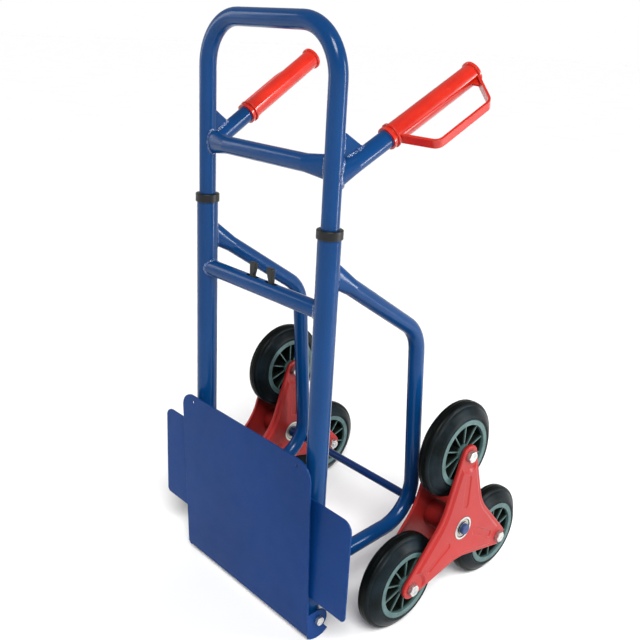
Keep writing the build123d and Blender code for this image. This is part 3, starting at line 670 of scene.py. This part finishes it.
dress_frame()
weld_crossbars()
weld_rear_tubes()
weld_side_handles()
weld_sheets()
weld_axle()
make_tyres()


# ---- floor, light and camera ----------------------------------------------------------------------------

def stage_floor():
    mesh = bpy.data.meshes.new("floor")
    corners = [(x * FLOOR_HALF, y * FLOOR_HALF, 0) for x, y in ((-1, -1), (1, -1), (1, 1), (-1, 1))]
    mesh.from_pydata(corners, [], [(0, 1, 2, 3)])
    floor = bpy.data.objects.new("floor", mesh)
    bpy.context.scene.collection.objects.link(floor)
    n = Nodes("floor")
    n.set(Specular_IOR_Level=0.2)
    tone = n.mix(n.remap(n.noise(3.0, 4.0), 0.3, 0.7, 0.0, 1.0), srgb(243, 243, 243), srgb(246, 246, 246))
    n.finish(tone, n.remap(n.noise(8.0, 3.0), 0.3, 0.7, 0.7, 0.8))
    mesh.materials.append(n.material)


def area_light(name, place, target, size, power):
    light = bpy.data.lights.new(name, "AREA")
    light.shape = "RECTANGLE"
    light.size, light.size_y = size
    light.energy = power
    lamp = bpy.data.objects.new(name, light)
    lamp.location = place
    lamp.rotation_euler = (Vector(target) - Vector(place)).to_track_quat("-Z", "Y").to_euler()
    bpy.context.scene.collection.objects.link(lamp)


def sun_light(name, place, angle_deg, strength):
    """Distant soft lamp that lights the whole floor evenly, shining from a place towards the origin."""
    light = bpy.data.lights.new(name, "SUN")
    light.angle = math.radians(angle_deg)
    light.energy = strength
    lamp = bpy.data.objects.new(name, light)
    lamp.rotation_euler = (-Vector(place)).to_track_quat("-Z", "Y").to_euler()
    bpy.context.scene.collection.objects.link(lamp)


def light_the_studio():
    """Dim room with a bright band at the horizon, lit by a soft sun and two tall strips."""
    world = bpy.data.worlds.new("studio")
    world.use_nodes = True
    tree = world.node_tree
    coordinates = tree.nodes.new("ShaderNodeTexCoord")
    split = tree.nodes.new("ShaderNodeSeparateXYZ")
    band = tree.nodes.new("ShaderNodeMapRange")
    tree.links.new(coordinates.outputs["Generated"], split.inputs["Vector"])
    tree.links.new(split.outputs["Z"], band.inputs["Value"])
    for key, number in ROOM_BAND.items():
        band.inputs[key].default_value = number
    tree.links.new(band.outputs["Result"], tree.nodes["Background"].inputs["Strength"])
    tree.nodes["Background"].inputs["Color"].default_value = (1.0, 1.0, 1.0, 1.0)
    bpy.context.scene.world = world
    sun_light("key", **KEY_SUN)
    area_light("side", **SIDE_STRIP)
    area_light("fill", **FILL_STRIP)
    bpy.context.scene.view_settings.view_transform = "Standard"


def place_camera():
    azimuth, elevation, roll = (math.radians(a) for a in CAMERA_TURN)
    back = Vector((math.sin(azimuth) * math.cos(elevation), -math.cos(azimuth) * math.cos(elevation),
                   math.sin(elevation)))
    right = Vector((math.cos(azimuth), math.sin(azimuth), 0.0))
    up = back.cross(right)
    rolled_right = right * math.cos(roll) + up * math.sin(roll)
    rolled_up = up * math.cos(roll) - right * math.sin(roll)
    data = bpy.data.cameras.new("camera")
    data.sensor_width = CAMERA_SENSOR
    data.lens = CAMERA_LENS
    data.shift_x, data.shift_y = CAMERA_SHIFT
    data.clip_start = CAMERA_CLIP
    camera = bpy.data.objects.new("camera", data)
    matrix = Matrix((rolled_right, rolled_up, back)).transposed().to_4x4()
    matrix.translation = Vector(CAMERA_PLACE) + Vector((0, PLANE_Y, 0))
    camera.matrix_world = matrix
    bpy.context.scene.collection.objects.link(camera)
    bpy.context.scene.camera = camera


stage_floor()
light_the_studio()
place_camera()
